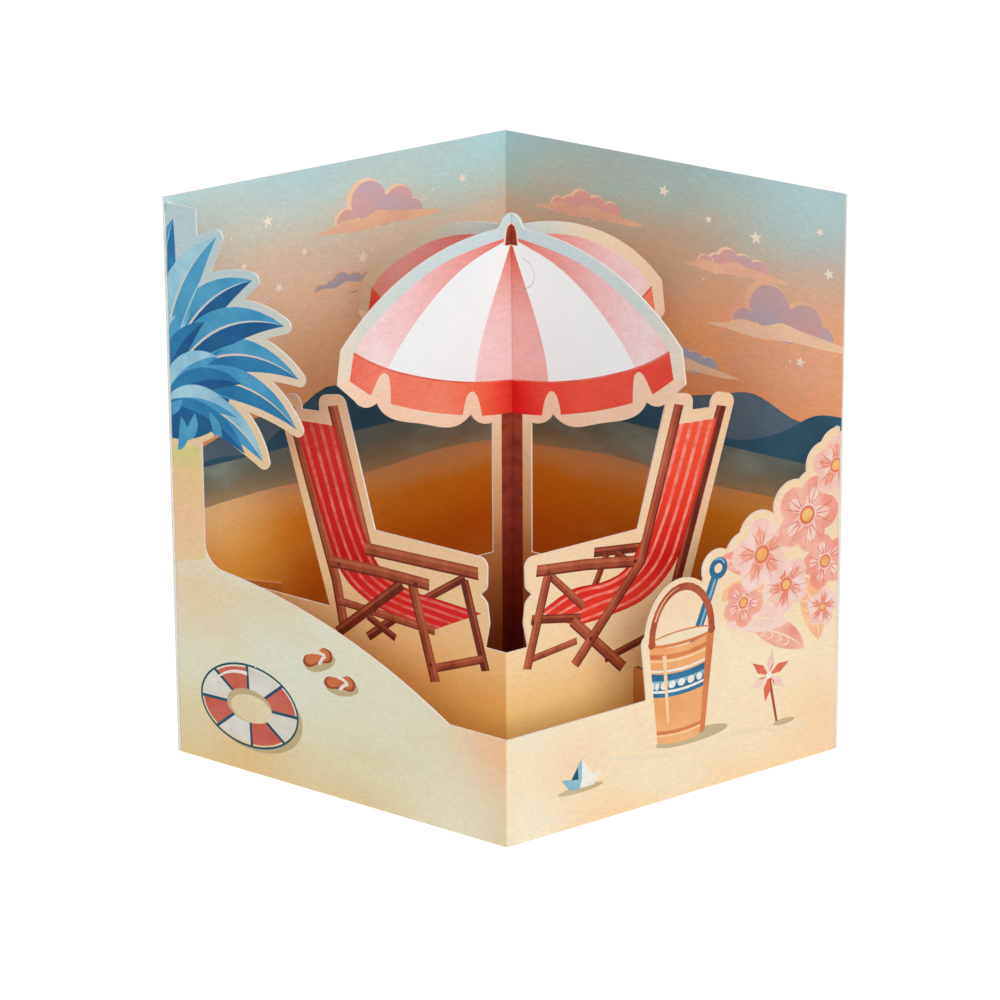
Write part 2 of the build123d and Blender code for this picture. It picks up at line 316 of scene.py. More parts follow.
def blend_ink(name, stops, sway, tint=None, grain=0.04, around=None, glows=()):
    """Ink that runs through colour stops, given in mm of height, or of distance from a plan point.

    A tint is another colour in soft patches: (colour, noise scale, noise range, strongest share).
    A glow is a soft patch of another colour about a point: (colour, point, reach, strongest share).
    """
    material, tree, place = paper(name)
    if around is None:
        measure = add_node(tree, "ShaderNodeSeparateXYZ", {0: place}).outputs["Z"]
    else:
        centred = {"Vector": place, "Location": (-around.x * mm, -around.y * mm, 0), "Scale": (1, 1, 0)}
        flat = add_node(tree, "ShaderNodeMapping", centred).outputs["Vector"]
        measure = add_node(tree, "ShaderNodeVectorMath", {0: flat}, operation="LENGTH").outputs["Value"]
    lowest, highest = stops[0][0], stops[-1][0]
    wave = remap(tree, mottle(tree, place, 46, 4, (1, 1, 2.2)), 0.25, 0.75, -sway * mm, sway * mm)
    shifted = add_node(tree, "ShaderNodeMath", {0: measure, 1: wave}, operation="ADD").outputs[0]
    share = remap(tree, shifted, lowest * mm, highest * mm, 0, 1)
    ramp = add_node(tree, "ShaderNodeValToRGB", {"Fac": share})
    elements = ramp.color_ramp.elements
    elements.remove(elements[1])
    for index, (at, colour) in enumerate(stops):
        along = (at - lowest) / (highest - lowest)
        element = elements[0] if index == 0 else elements.new(along)
        element.position = along
        element.color = linear(colour)
    shade = ramp.outputs["Color"]
    if tint:
        colour, scale, low, high, amount = tint
        patch = remap(tree, mottle(tree, place, scale, 4, (1, 1, 1.8)), low, high, 0, amount)
        shade = mix(tree, patch, shade, linear(colour))
    for colour, point, reach, strongest in glows:
        away = add_node(tree, "ShaderNodeVectorMath", {0: place, 1: Vector(point) * mm}, operation="DISTANCE")
        span = {"Value": away.outputs["Value"], "From Max": reach * mm, "To Min": strongest, "To Max": 0}
        fade = add_node(tree, "ShaderNodeMapRange", span, interpolation_type="SMOOTHSTEP").outputs["Result"]
        shade = mix(tree, fade, shade, linear(colour))
    finish_ink(tree, place, shade, grain)
    return material


def smooth(points, closed=False, steps=6):
    """Smooth line through a few points."""
    count = len(points)
    line = []
    for index in range(count if closed else count - 1):
        nearby = [at % count if closed else min(max(at, 0), count - 1) for at in range(index - 1, index + 3)]
        a, b, c, d = (Vector(points[at]) for at in nearby)
        for step in range(steps):
            t = step / steps
            pull = 2 * b + (c - a) * t + (2 * a - 5 * b + 4 * c - d) * t * t
            line.append((pull + (3 * b - a - 3 * c + d) * t ** 3) / 2)
    return line if closed else [*line, points[-1]]


def placed(points, centre, turn=0):
    """Outline turned by degrees about its origin, which goes to a centre."""
    tilt = Matrix.Rotation(radians(turn), 2)
    return [Vector(centre) + tilt @ Vector(point) for point in points]


def rim_point(centre, radius, angle, height=None):
    """Point on a circle, or on an ellipse where a height radius is given."""
    return centre[0] + radius * cos(angle), centre[1] + (height or radius) * sin(angle)


def disc(centre, radius, height=None, turn=0, count=36):
    """Round field, or an ellipse where a height radius is given, turned by degrees."""
    height = height or radius
    angles = [2 * pi * step / count for step in range(count)]
    return placed([(radius * cos(angle), height * sin(angle)) for angle in angles], centre, turn)


sky = blend_ink(
    "sky_ink",
    (
        (60, (252, 172, 114)), (72, (254, 186, 128)), (84, (254, 200, 148)), (92, (252, 214, 176)),
        (101, (246, 213, 184)), (108, (232, 211, 187)), (114, (214, 214, 199)), (120, (199, 221, 217)),
        (127, (186, 224, 228)),
    ),
    4,
    tint=((206, 186, 178), 30, 0.5, 0.78, 0.4),
    grain=0.05,
)
# Darker copy of the sky ink for the right-hand panel of the back sheet: painted shade, as that panel faces
# away from the key lamp.
shaded_sky = blend_ink(
    "shaded_sky_ink",
    (
        (60, (250, 158, 98)), (82, (250, 168, 108)), (88, (252, 178, 118)), (97, (236, 182, 142)),
        (108, (214, 186, 156)), (115, (196, 196, 180)), (121, (182, 202, 194)), (127, (172, 204, 206)),
    ),
    4,
    tint=((176, 170, 176), 34, 0.5, 0.76, 0.5),
    grain=0.05,
    glows=(((196, 228, 232), (68, 4, 127), 34, 0.7), ((252, 190, 152), (70, 2, 90), 30, 0.6)),
)
far_beach = blend_ink(
    "far_beach_ink",
    (
        (36, (240, 118, 8)), (42, (248, 134, 14)), (48, (252, 146, 28)), (52, (250, 170, 92)),
        (55, (230, 168, 112)), (58, (184, 154, 112)),
    ),
    1.6,
    tint=((248, 176, 84), 55, 0.5, 0.8, 0.5),
    glows=(
        ((250, 208, 146), (-64, 7, 53), 22, 0.85), ((250, 176, 66), (-58, 12, 38), 22, 0.7),
        ((255, 168, 44), (55, 13, 42), 26, 0.7),
    ),
)
deep_sea = blend_ink(
    "sea_ink",
    ((54, (190, 158, 114)), (58, (148, 134, 106)), (62, (120, 128, 116)), (68, (112, 128, 130))),
    0.8,
    tint=((162, 178, 168), 60, 0.5, 0.75, 0.6),
)
hill = ink("hill_ink", (58, 102, 124), (44, 88, 112), 90)
far_hill = ink("far_hill_ink", (98, 122, 138), (82, 108, 126), 90)
cloud_mauve = ink("cloud_mauve_ink", (176, 184, 200), (224, 170, 164), 38)
cloud_rose = ink("cloud_rose_ink", (244, 174, 160), (196, 184, 198), 46)
cloud_peach = ink("cloud_peach_ink", (250, 204, 166), (238, 180, 156), 70)
cloud_cream = ink("cloud_cream_ink", (254, 220, 184), (250, 206, 168), 70)
star_ink = ink("star_ink", (255, 247, 232), (250, 236, 214), 200, grain=0.01)

inside_left = left_edge + right_of(to_back) * sheet_thickness
inside_right = right_edge + right_of(to_front) * sheet_thickness
inside_fold = back_fold - Vector((0, sheet_thickness / sin(half_angle)))
back_corners = (inside_left + to_back * edge_margin, inside_fold, inside_right - to_front * edge_margin)
back_print = Print("back_sheet", back_corners, inner_crease, sky)
on_back = back_print.paint
fold_at = (inside_fold - inside_left).length - edge_margin
# Places on this sheet are measured from its fold, to the right.
back_print.place = lambda along: fold_at + along
cloud_base = ((-0.08, 0), (0.06, 0.03), (0.2, 0.075), (0.36, 0.06), (0.5, 0.1), (0.66, 0.07), (0.82, 0.05),
              (1.08, 0.005), (0.88, -0.02), (0.6, -0.012), (0.34, -0.03), (0.1, -0.012))
tall_puffs = ((0.2, 0.07, 0.1), (0.8, 0.06, 0.09), (0.38, 0.2, 0.17), (0.66, 0.14, 0.14), (0.52, 0.1, 0.14))
low_puffs = ((0.18, 0.05, 0.08), (0.42, 0.11, 0.12), (0.3, 0.06, 0.1), (0.74, 0.07, 0.1), (0.58, 0.08, 0.12))
warm_cloud = (cloud_cream, cloud_rose, cloud_peach)
dusk_cloud = (cloud_peach, cloud_mauve, cloud_cream)


def painted_cloud(left, foot, length, puffs, inks):
    """Heap of round puffs, lit along its left side, that rises from a long thin base."""
    rim, body, base = inks
    for colour, aside, lower, share in ((rim, 0, 0, 1), (body, 0.16, 0.05, 0.9)):
        for along, up, radius in puffs:
            size = radius * length
            spot = Vector((left + along * length, foot + up * length)) + Vector((aside, -lower)) * size
            on_back(colour, disc(spot, size * share, size * share * 0.95))
    outline = smooth(cloud_base, closed=True)
    on_back(base, [(left + along * length, foot + up * length) for along, up in outline])


def star(centre, radius, turn):
    """Outline of a five-pointed star, turned by degrees."""
    reaches = (radius, radius * 0.42)
    return [rim_point(centre, reaches[number % 2], radians(90 + turn + 36 * number)) for number in range(10)]


# The right-hand panel takes the darker sky: painted shade.
on_back(shaded_sky, [(0, 60), (100, 60), (100, 130), (0, 130)])
for left, foot, length, puffs, inks in (
    (-55, 97.5, 22, low_puffs, dusk_cloud),
    (-50, 111.5, 30, tall_puffs, warm_cloud),
    (10, 111, 26, low_puffs, warm_cloud),
    (58, 92, 34, tall_puffs, dusk_cloud),
    (38, 80.5, 24, low_puffs, dusk_cloud),
    (50, 104.5, 25, low_puffs, warm_cloud),
):
    painted_cloud(left, foot, length, puffs, inks)
for along, height, size, turn in (
    (-64.5, 117, 1.5, 8), (-55, 108.5, 1, 20), (-39.5, 104.5, 1.6, -10), (-12, 118, 1.3, 14),
    (-71, 108, 0.9, 0), (-62, 101.5, 1.3, 26), (43.5, 120, 1.5, -14), (55.5, 115.5, 1, 12),
    (68, 113.5, 1.7, 6), (84.5, 117.5, 1.1, 30), (80, 87.5, 1.3, -8), (87, 108.5, 1.4, 18),
):
    on_back(star_ink, star((along, height), size, turn))
beyond = fold_at + 1
hill_foot = [(beyond, 60), (-beyond, 60)]
on_back(far_hill, smooth([
    (-beyond, 66), (-70, 73), (-60, 71), (-44, 73), (-30, 74), (-14, 72), (2, 70), (14, 74), (28, 71),
    (44, 73), (58, 76), (68, 78), (80, 74), (beyond, 76),
]) + hill_foot)
on_back(hill, smooth([
    (-beyond, 64), (-80, 66), (-68, 66), (-50, 76.5), (-38, 71), (-24, 67), (-12, 70.5), (0, 66.5), (12, 68),
    (26, 73), (38, 76), (50, 70), (62, 66.5), (74, 70), (84, 76), (beyond, 77),
]) + hill_foot)
on_back(deep_sea, [(-beyond, 53.5), (beyond, 53.5), (beyond, 64.5), (0, 65), (-beyond, 64.5)])
on_back(far_beach, smooth([
    (-beyond, 54.5), (-64, 56), (-40, 54.4), (-18, 55.8), (6, 54.6), (30, 56.2), (56, 54.8), (beyond, 56),
]) + [(beyond, -1), (-beyond, -1)])
glued_edge = 1.2
for edge, top in ((-beyond, 124), (beyond, 74)):
    inward = edge * (1 - (glued_edge + 1) / beyond)
    on_back(board, [(edge, -1), (inward, -1), (inward, top), (edge, top)])
back_piece = back_print.press("back_sheet_print")


def speck_tree():
    """Node tree that scatters flat specks over the faces of a mesh between two heights."""
    tree = bpy.data.node_groups.new("specks", "GeometryNodeTree")
    names = {}
    for label, kind in (("Mesh", "Geometry"), ("Density", "Float"), ("Lowest", "Float"), ("Highest", "Float"),
                        ("Radius", "Float"), ("Seed", "Int"), ("Ink", "Material")):
        socket = tree.interface.new_socket(label, in_out="INPUT", socket_type="NodeSocket" + kind)
        names[label] = socket.identifier
    tree.interface.new_socket("Mesh", in_out="OUTPUT", socket_type="NodeSocketGeometry")
    entry = tree.nodes.new("NodeGroupInput").outputs
    place = tree.nodes.new("GeometryNodeInputPosition").outputs[0]
    height = add_node(tree, "ShaderNodeSeparateXYZ", {0: place}).outputs["Z"]
    above = add_node(tree, "FunctionNodeCompare", {0: height, 1: entry["Lowest"]}, operation="GREATER_THAN")
    below = add_node(tree, "FunctionNodeCompare", {0: height, 1: entry["Highest"]}, operation="LESS_THAN")
    between = add_node(tree, "FunctionNodeBooleanMath", {0: above.outputs[0], 1: below.outputs[0]}).outputs[0]
    scatter = add_node(tree, "GeometryNodeDistributePointsOnFaces", {
        "Mesh": entry["Mesh"], "Selection": between, "Density": entry["Density"], "Seed": entry["Seed"],
    }).outputs
    speck = add_node(tree, "GeometryNodeMeshCylinder", {
        "Vertices": 7, "Depth": 4 * film * mm, "Radius": entry["Radius"],
    })
    spread = add_node(tree, "FunctionNodeRandomValue", {
        0: (0.4, 0.4, 1), 1: (1.5, 1.5, 1), "Seed": entry["Seed"],
    }, data_type="FLOAT_VECTOR")
    specks = add_node(tree, "GeometryNodeInstanceOnPoints", {
        "Points": scatter["Points"], "Rotation": scatter["Rotation"],
        "Instance": speck.outputs["Mesh"], "Scale": spread.outputs[0],
    })
    real = add_node(tree, "GeometryNodeRealizeInstances", {0: specks.outputs[0]})
    dressed = add_node(tree, "GeometryNodeSetMaterial", {
        "Geometry": real.outputs[0], "Material": entry["Ink"],
    })
    add_node(tree, "NodeGroupOutput", {0: dressed.outputs[0]})
    return tree, names


specks, speck_inputs = speck_tree()


def speckle(printed, name, seed, count_per_m2, lowest, highest, radius):
    """Fine white specks of ink spattered over part of a print."""
    piece = bpy.data.objects.new(name, printed.data.copy())
    bpy.context.scene.collection.objects.link(piece)
    scatter = piece.modifiers.new("specks", "NODES")
    scatter.node_group = specks
    for label, value in (("Density", count_per_m2), ("Lowest", lowest * mm), ("Highest", highest * mm),
                         ("Radius", radius * mm), ("Seed", seed), ("Ink", star_ink)):
        scatter[speck_inputs[label]] = value
    bpy.context.view_layer.update()
    solid = bpy.data.meshes.new_from_object(piece.evaluated_get(bpy.context.evaluated_depsgraph_get()))
    piece.modifiers.remove(scatter)
    piece.data = solid
    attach(piece, "root")


speckle(back_piece, "sky_specks",
        seed=7, count_per_m2=6000.0, lowest=84, highest=126, radius=0.2)

# Front sheet
# One low sheet with its fold at the front and a glue flap behind each side edge. Its outer side shows
# sand dunes, with a tuft of beach grass, a bed of flowers and beach toys cut out along its top.
corner_shift = sheet_thickness / sin(2 * half_angle)
corner_reach = outer_crease * tan(half_angle)
front_left_corner = left_edge + to_front * corner_shift
front_right_corner = right_edge - to_back * corner_shift

dune_sand = blend_ink(
    "dune_sand_ink",
    ((0, (238, 218, 170)), (8, (238, 226, 186)), (20, (238, 234, 206)), (45, (240, 236, 214))),
    5,
    tint=((234, 210, 148), 34, 0.52, 0.76, 0.6),
    glows=(
        ((254, 204, 154), (0, -55, 21), 24, 0.95), ((246, 240, 216), (-12, -46, 2), 24, 0.8),
        ((242, 204, 136), (-57, -12, 3), 22, 0.75), ((234, 238, 222), (-46, -20, 26), 20, 0.6),
        ((246, 214, 164), (-68, -4, 39), 16, 0.7),
    ),
)
strip_ink = blend_ink(
    "side_strip_ink",
    ((42, (246, 216, 166)), (56, (248, 208, 158)), (64, (246, 208, 154)), (72, (226, 216, 140)),
     (78, (226, 214, 156))),
    3,
)
grass_edge = blend_ink(
    "grass_edge_ink",
    ((60, (242, 210, 160)), (80, (242, 212, 170)), (92, (238, 214, 188)), (103, (216, 218, 208)),
     (114, (198, 216, 218)), (126, (194, 216, 222))),
    3,
)
grass_pale = ink("grass_pale_ink", (176, 220, 232), (134, 192, 220), 150)
grass_middle = ink("grass_middle_ink", (86, 170, 208), (62, 150, 194), 150)
grass_deep = ink("grass_deep_ink", (46, 134, 180), (30, 114, 164), 150)
grass_dark = ink("grass_dark_ink", (22, 98, 150), (14, 82, 134), 150)
ring_red = ink("ring_red_ink", (216, 112, 94), (206, 92, 76), 160)
ring_white = ink("ring_white_ink", (238, 236, 228), (226, 220, 206), 160)
ring_shade = ink("ring_shade_ink", (196, 178, 136), (206, 186, 142), 120)
rope_ink = ink("rope_ink", (36, 88, 112), (28, 70, 96), 200)
sandal_ink = ink("sandal_ink", (222, 128, 74), (206, 104, 58), 180)
sandal_sole = ink("sandal_sole_ink", (164, 82, 48), (148, 70, 40), 180)
front_sand = blend_ink(
    "front_sand_ink",
    ((0, (252, 220, 172)), (10, (252, 228, 188)), (24, (252, 233, 198)), (42, (252, 231, 200)),
     (66, (252, 228, 194))),
    5,
    tint=((242, 238, 214), 40, 0.52, 0.75, 0.6),
    glows=(
        ((250, 238, 212), (4, -52, 2), 20, 0.9), ((254, 204, 148), (34, -29, 24), 15, 0.6),
        ((254, 210, 158), (70, -2, 10), 20, 0.5), ((252, 214, 176), (14, -44, 14), 14, 0.5),
    ),
)
pale_sand = ink("pale_sand_ink", (246, 234, 208), (246, 224, 188), 50)
border_ink = blend_ink(
    "border_ink",
    ((8, (252, 228, 190)), (28, (252, 230, 194)), (42, (250, 222, 184)), (75, (248, 214, 174))),
    3,
)
petal_pale = ink("petal_pale_ink", (250, 218, 208), (247, 192, 178), 170)
petal_pink = ink("petal_pink_ink", (248, 186, 166), (242, 150, 132), 170)
petal_deep = ink("petal_deep_ink", (236, 134, 112), (228, 108, 88), 170)
flower_heart = ink("flower_heart_ink", (250, 196, 120), (240, 164, 92), 240)
leaf_ink = ink("leaf_ink", (252, 204, 154), (248, 178, 132), 150)
bucket_orange = ink("bucket_orange_ink", (248, 184, 124), (240, 160, 98), 110)
bucket_dark = ink("bucket_dark_ink", (226, 136, 82), (212, 116, 66), 150)
bucket_light = ink("bucket_light_ink", (254, 216, 170), (250, 202, 150), 150)
handle_ink = ink("handle_ink", (186, 92, 60), (164, 70, 44), 200)
toy_blue = ink("toy_blue_ink", (52, 124, 160), (34, 100, 140), 150)
toy_pale_blue = ink("toy_pale_blue_ink", (150, 196, 212), (120, 176, 200), 150)
toy_white = ink("toy_white_ink", (248, 244, 236), (240, 232, 218), 150)
coral_ink = ink("coral_ink", (234, 122, 92), (222, 98, 72), 200)

front_corners = (front_left_corner + to_back * corner_reach, front_left_corner, front_fold,
                 front_right_corner, front_right_corner - to_front * corner_reach)
front_print = Print("front_sheet", front_corners, outer_crease, dune_sand)
on_front = front_print.paint


def from_left(along):
    """Distance along the front sheet of a place measured from the card's left edge."""
    return along + corner_reach - corner_shift


def from_right(along):
    """Distance along the front sheet of a place measured from the card's right edge."""
    return front_print.length - from_left(along)


def bow_line(start, through, end, steps=14):
    """Arc of a circle from one point to another, through a third between them."""
    a, b, c = Vector(start), Vector(through), Vector(end)
    turn = 2 * ((b - a).x * (c - a).y - (b - a).y * (c - a).x)
    if abs(turn) < 1e-6:
        return [a.lerp(c, step / steps) for step in range(steps + 1)]
    ab, ac = (b - a).length_squared, (c - a).length_squared
    centre = a + Vector(((c - a).y * ab - (b - a).y * ac, (b - a).x * ac - (c - a).x * ab)) / turn
    first = atan2(*(a - centre).yx)
    sweep = atan2(*(c - centre).yx) - first
    sweep = sweep % (2 * pi) if turn > 0 else -(-sweep % (2 * pi))
    radius = (a - centre).length
    return [rim_point(centre, radius, first + sweep * step / steps) for step in range(steps + 1)]


def blade(root, lean, length, bow, width, low_side=-1, high_side=1):
    """Grass blade between two arcs. Its sides can be set to leave only a half, or a rib."""
    start = Vector(root)
    direction = Vector((cos(radians(lean)), sin(radians(lean))))
    end = start + direction * length
    side = -right_of(direction)
    middle = (start + end) / 2 + side * bow
    high = bow_line(start, middle + side * (width / 2 * high_side), end)
    low = bow_line(start, middle + side * (width / 2 * low_side), end)
    return high + low[-2:0:-1]


def ribbon(points, width, end_width=None):
    """Brush stroke of a given width along a line, which may thin out towards its end."""
    end_width = width if end_width is None else end_width
    line = [Vector(point) for point in points]
    last = len(line) - 1
    left, right = [], []
    for index, point in enumerate(line):
        along = (line[min(index + 1, last)] - line[max(index - 1, 0)]).normalized()
        side = -right_of(along) * ((width + (end_width - width) * index / last) / 2)
        left.append(point + side)
        right.append(point - side)
    return left + right[::-1]


front_print.place = from_left
on_front(strip_ink, [(-2, 44), (9.2, 47), (12, 60), (12, 128), (-2, 128)])
on_front(grass_edge, [(9.2, 56), (60, 56), (60, 128), (-2, 128), (-2, 100), (0, 76), (8.6, 72)])
on_front(grass_edge, disc((0, 88), 20, 16.5))
on_front(grass_dark, disc((0, 86.5), 17.5, 13.5))
grass_root = (0, 81.8)
grass_pairs = ((grass_middle, grass_deep), (grass_pale, grass_middle), (grass_middle, grass_dark))
for number, (lean, length, bow, width) in enumerate((
    (86, 41, 3, 9), (-19, 28, 4.5, 7), (51.5, 39.5, 6, 8.5), (17, 38.5, 7.5, 8),
    (69, 41.5, 5.5, 9), (34, 40, 7, 8.5), (0, 36, 7, 7.5),
)):
    light, deep = grass_pairs[number % 3]
    on_front(light, blade(grass_root, lean, length, bow, width))
    shaded = on_front(deep, blade(grass_root, lean, length, bow, width, -1, 0))
    on_front(grass_edge, blade(grass_root, lean, length, bow, width, -0.06, 0.06))
    for share in (0.35, 0.5, 0.65, 0.8):
        stroke = blade(grass_root, lean, length * share, bow * share, width * share, -0.75, -0.6)
        on_front(light, stroke, shaded)
short_root = (-1.5, 80.5)
for number in range(6):
    light, deep = ((grass_pale, grass_middle), (grass_deep, grass_dark))[number % 2]
    lean = 78 - 19 * number
    length = 21 + 3 * (number % 2)
    on_front(light, blade(short_root, lean, length, 3, 5.4))
    on_front(deep, blade(short_root, lean, length, 3, 5.4, -1, -0.1))
for along, height, lean in ((4, 78.5, 205), (7.5, 76, 240), (3.5, 74.5, 262), (11.5, 77, 285)):
    on_front(grass_middle, blade((along, height + 4), lean, 8, 1.2, 2.6))

ring_place = (21, 15.5)
ring_half, ring_half_height = 13, 8.8
hole_half, hole_half_height = 6.2, 3.7
on_front(ring_shade, disc((ring_place[0] + 1.6, ring_place[1] - 1.5), ring_half + 0.4, ring_half_height))
on_front(rope_ink, disc(ring_place, ring_half + 0.9, ring_half_height + 0.9, count=64))
on_front(dune_sand, disc(ring_place, ring_half + 0.4, ring_half_height + 0.4, count=64))
whole_ring = on_front(ring_white, disc(ring_place, ring_half, ring_half_height, count=64))
for number in range(4):
    middle = radians(24 + 90 * number)
    angles = [middle + radians(-22 + 44 * step / 6) for step in range(7)]
    rim = [rim_point(ring_place, 15, angle, 10.2) for angle in angles]
    on_front(ring_red, [ring_place, *rim], whole_ring)
    for side in (-22, 22):
        angle = middle + radians(side)
        inner = rim_point(ring_place, hole_half, angle, hole_half_height)
        on_front(rope_ink, ribbon((inner, rim_point(ring_place, 13.6, angle, 9.4)), 0.7))
on_front(ring_shade, disc(ring_place, hole_half + 0.2, hole_half_height + 0.2, count=48))
hole_place = (ring_place[0] + 0.5, ring_place[1] - 0.6)
on_front(dune_sand, disc(hole_place, hole_half - 0.4, hole_half_height - 0.5))
on_front(toy_white, ribbon(bow_line((10.6, 18.6), (14.6, 21.9), (20.5, 22.9)), 0.25, 0.9), whole_ring)

sole_line = ((-4.4, 0), (-3, 1.4), (0, 1.2), (2.6, 1.9), (4.5, 0.4), (3.4, -1.5), (0.2, -1.2), (-3.2, -1.3))
strap_line = ((2.4, 0.1), (-0.4, 1.5), (-0.2, -1.4))
for place, turn in (((40.5, 31), 24), ((46.5, 26.6), 8)):
    on_front(ring_shade, disc((place[0] + 0.7, place[1] - 0.8), 4.6, 1.9, turn))
    sole = smooth(placed(sole_line, place, turn), closed=True)
    on_front(sandal_sole, sole)
    middle = Vector(place)
    on_front(sandal_ink, [middle + (point - middle) * 0.82 + Vector((0, 0.25)) for point in sole])
    toe, *heels = placed(strap_line, place, turn)
    for heel in heels:
        on_front(toy_white, ribbon((heel, heel.lerp(toe, 0.5) + Vector((0, 0.3)), toe), 0.75))

front_print.place = from_right
on_front(front_sand, [(-2, -1), (panel_width, -1), (panel_width, 75), (-2, 75)])
on_front(pale_sand, ribbon(smooth([(72, 16), (60, 12.6), (44, 10), (28, 10.8), (10, 8)]), 0.6, 1.8))
bed_outline = [(-2, 20), (12, 26), (24, 30), (36, 40), (37, 52), (28, 64), (-2, 80)]
on_front(border_ink, smooth(bed_outline, closed=True))


def leaf(root, lean, length, width, body):
    """Printed leaf with a paler rib and side veins."""
    on_front(body, blade(root, lean, length, width * 0.2, width))
    on_front(border_ink, blade(root, lean, length * 0.94, width * 0.2, width, -0.06, 0.06))
    direction = Vector((cos(radians(lean)), sin(radians(lean))))
    for share in (0.3, 0.45, 0.6, 0.75):
        spot = Vector(root) + direction * length * share
        for side in (-1, 1):
            vein = Matrix.Rotation(radians(42 * side), 2) @ direction
            on_front(border_ink, ribbon((spot, spot + vein * width * 0.3), 0.35, 0.1))


def flower(centre, radius, turn, inner, outer):
    """Round flower: five petals about a heart, each with a deeper foot and fine veins."""
    ring = radius * 0.56
    for number in range(5):
        lean = turn + 360 * number / 5
        angle = radians(lean)
        whole = on_front(outer, disc(rim_point(centre, ring, angle), radius - ring, count=30))
        foot = disc(rim_point(centre, ring * 0.55, angle), ring * 0.74, ring * 0.34, lean)
        on_front(inner, foot, whole)
        for spread in (-0.34, 0, 0.34):
            near = rim_point(centre, radius * 0.3, angle + spread * 0.6)
            far = rim_point(centre, radius * 0.84, angle + spread)
            on_front(petal_deep, ribbon((near, far), 0.34, 0.06), whole)
    on_front(petal_deep, disc(centre, radius * 0.24))
    on_front(flower_heart, disc(centre, radius * 0.17))
    for number in range(7):
        angle = radians(turn + 360 * number / 7)
        on_front(bucket_dark, disc(rim_point(centre, radius * 0.2, angle), radius * 0.035, count=8))


leaf((6, 27), 70, 17, 7, leaf_ink)
leaf((10, 26), 28, 17, 6, petal_pink)
leaf((15, 33), 12, 18, 6.5, petal_pale)
leaf((20, 41), 8, 15, 5.5, leaf_ink)
leaf((0, 38), 96, 16, 6.5, petal_pink)
leaf((24, 46), 30, 12, 5, petal_pink)
flower((27.5, 40.5), 5.6, 50, petal_pale, petal_pink)
flower((4.5, 45), 6.4, 5, petal_pale, petal_pink)
flower((15.5, 42), 6.6, 65, petal_pink, petal_pale)
flower((22.5, 50.5), 8.4, 10, petal_pink, petal_pale)
flower((9.8, 56.8), 8.8, 40, petal_pale, petal_pink)
flower((1.8, 66.5), 6.8, 20, petal_pink, petal_pale)
flower((5, 34.5), 4.6, 30, petal_pink, petal_pale)

bucket_centre, rim_half, rim_height, base_half, base_height = 44.5, 9, 37, 6.5, 13
on_front(border_ink, disc((bucket_centre, rim_height - 11), 12.4, 15.6))
on_front(border_ink, disc((bucket_centre, rim_height + 1), 10.8, 13.4))
on_front(border_ink, ribbon(((41, 34), (34.6, 50)), 7))
on_front(ring_shade, disc((bucket_centre - 3, base_height + 0.1), 10, 1.6))
on_front(toy_blue, ribbon(((42.6, 31), (35.4, 48.4)), 2.2))
on_front(toy_pale_blue, ribbon(((42.3, 31), (35.1, 48.4)), 0.6))
on_front(toy_blue, disc((34.6, 50), 2.5))
on_front(border_ink, disc((34.6, 50), 1.1, count=20))
on_front(toy_pale_blue, ribbon(bow_line((33, 50.8), (34, 52), (35.6, 52)), 0.5, 0.3))
arch = [rim_point((bucket_centre, rim_height), 8.2, radians(angle), 11) for angle in range(0, 181, 12)]
on_front(handle_ink, ribbon(arch, 1.7))
on_front(bucket_light, ribbon([(x * 0.985 + 0.66, z + 0.1) for x, z in arch[2:8]], 0.35, 0.1))
on_front(bucket_dark, disc((bucket_centre, rim_height - 0.4), rim_half, 1.7))
on_front(pale_sand, disc((bucket_centre, rim_height - 0.2), rim_half - 1, 1.15))


def bucket_bow(half, height, middle_height):
    """Bow across the bucket, between two points of one height."""
    start, end = ((bucket_centre + aside, height) for aside in (-half, half))
    return bow_line(start, (bucket_centre, middle_height), end)


body = on_front(bucket_orange, [
    (bucket_centre - rim_half, rim_height - 0.6),
    *bucket_bow(base_half, base_height + 0.6, base_height - 0.5),
    *bucket_bow(-rim_half, rim_height - 0.6, rim_height - 2.4)[:-1],
])


def bucket_band(colour, height, width):
    """Painted band round the bucket, bowed as its rim is."""
    on_front(colour, ribbon(bucket_bow(11, height + 0.9, height - 1.1), width), body)


bucket_band(bucket_dark, rim_height - 3.2, 1)
bucket_band(bucket_light, rim_height - 4.2, 0.5)
bucket_band(toy_blue, 27.2, 5.2)
bucket_band(toy_pale_blue, 27.9, 0.8)
bucket_band(toy_white, 25.8, 0.6)
bucket_band(toy_white, 30.5, 0.5)
for step in range(9):
    angle = radians(-76 + 19 * step)
    spot = (bucket_centre + 8 * sin(angle), 27.2 - 0.9 * cos(angle))
    on_front(toy_white, disc(spot, 0.9 * cos(angle) + 0.12, 0.85, count=16), body)
bucket_band(bucket_dark, 16.4, 0.8)
bucket_band(bucket_light, 15.7, 0.4)
for colour, corners in (
    (bucket_dark, ((-9.4, 37), (-6.9, 12), (-5, 12), (-7, 37))),
    (bucket_light, ((4.2, 33.4), (3.3, 17.6), (3.9, 17.6), (5.3, 33.4))),
):
    on_front(colour, [(bucket_centre + aside, height) for aside, height in corners], body)
for side in (-1, 1):
    on_front(handle_ink, disc((bucket_centre + side * 8.2, rim_height - 0.4), 1, count=18))

wheel_place, wheel_size = (20, 22), 5.4
on_front(handle_ink, ribbon((wheel_place, (17.6, 10.5)), 0.8, 0.6))
on_front(ring_shade, disc((15.6, 10.2), 3, 0.7))
sail = [(wheel_size * x, wheel_size * z) for x, z in ((0, 0), (0.62, 0.08), (1, 0.52), (0.4, 0.42))]
sail_fold = (sail[0], sail[3], (sail[3][0] * 0.8, sail[3][1] * 0.5))
for number in range(6):
    turn = 60 * number + 12
    on_front((coral_ink, petal_pale)[number % 2], placed(sail, wheel_place, turn))
    on_front(petal_deep, placed(sail_fold, wheel_place, turn))
on_front(toy_white, disc(wheel_place, 0.8, count=18))

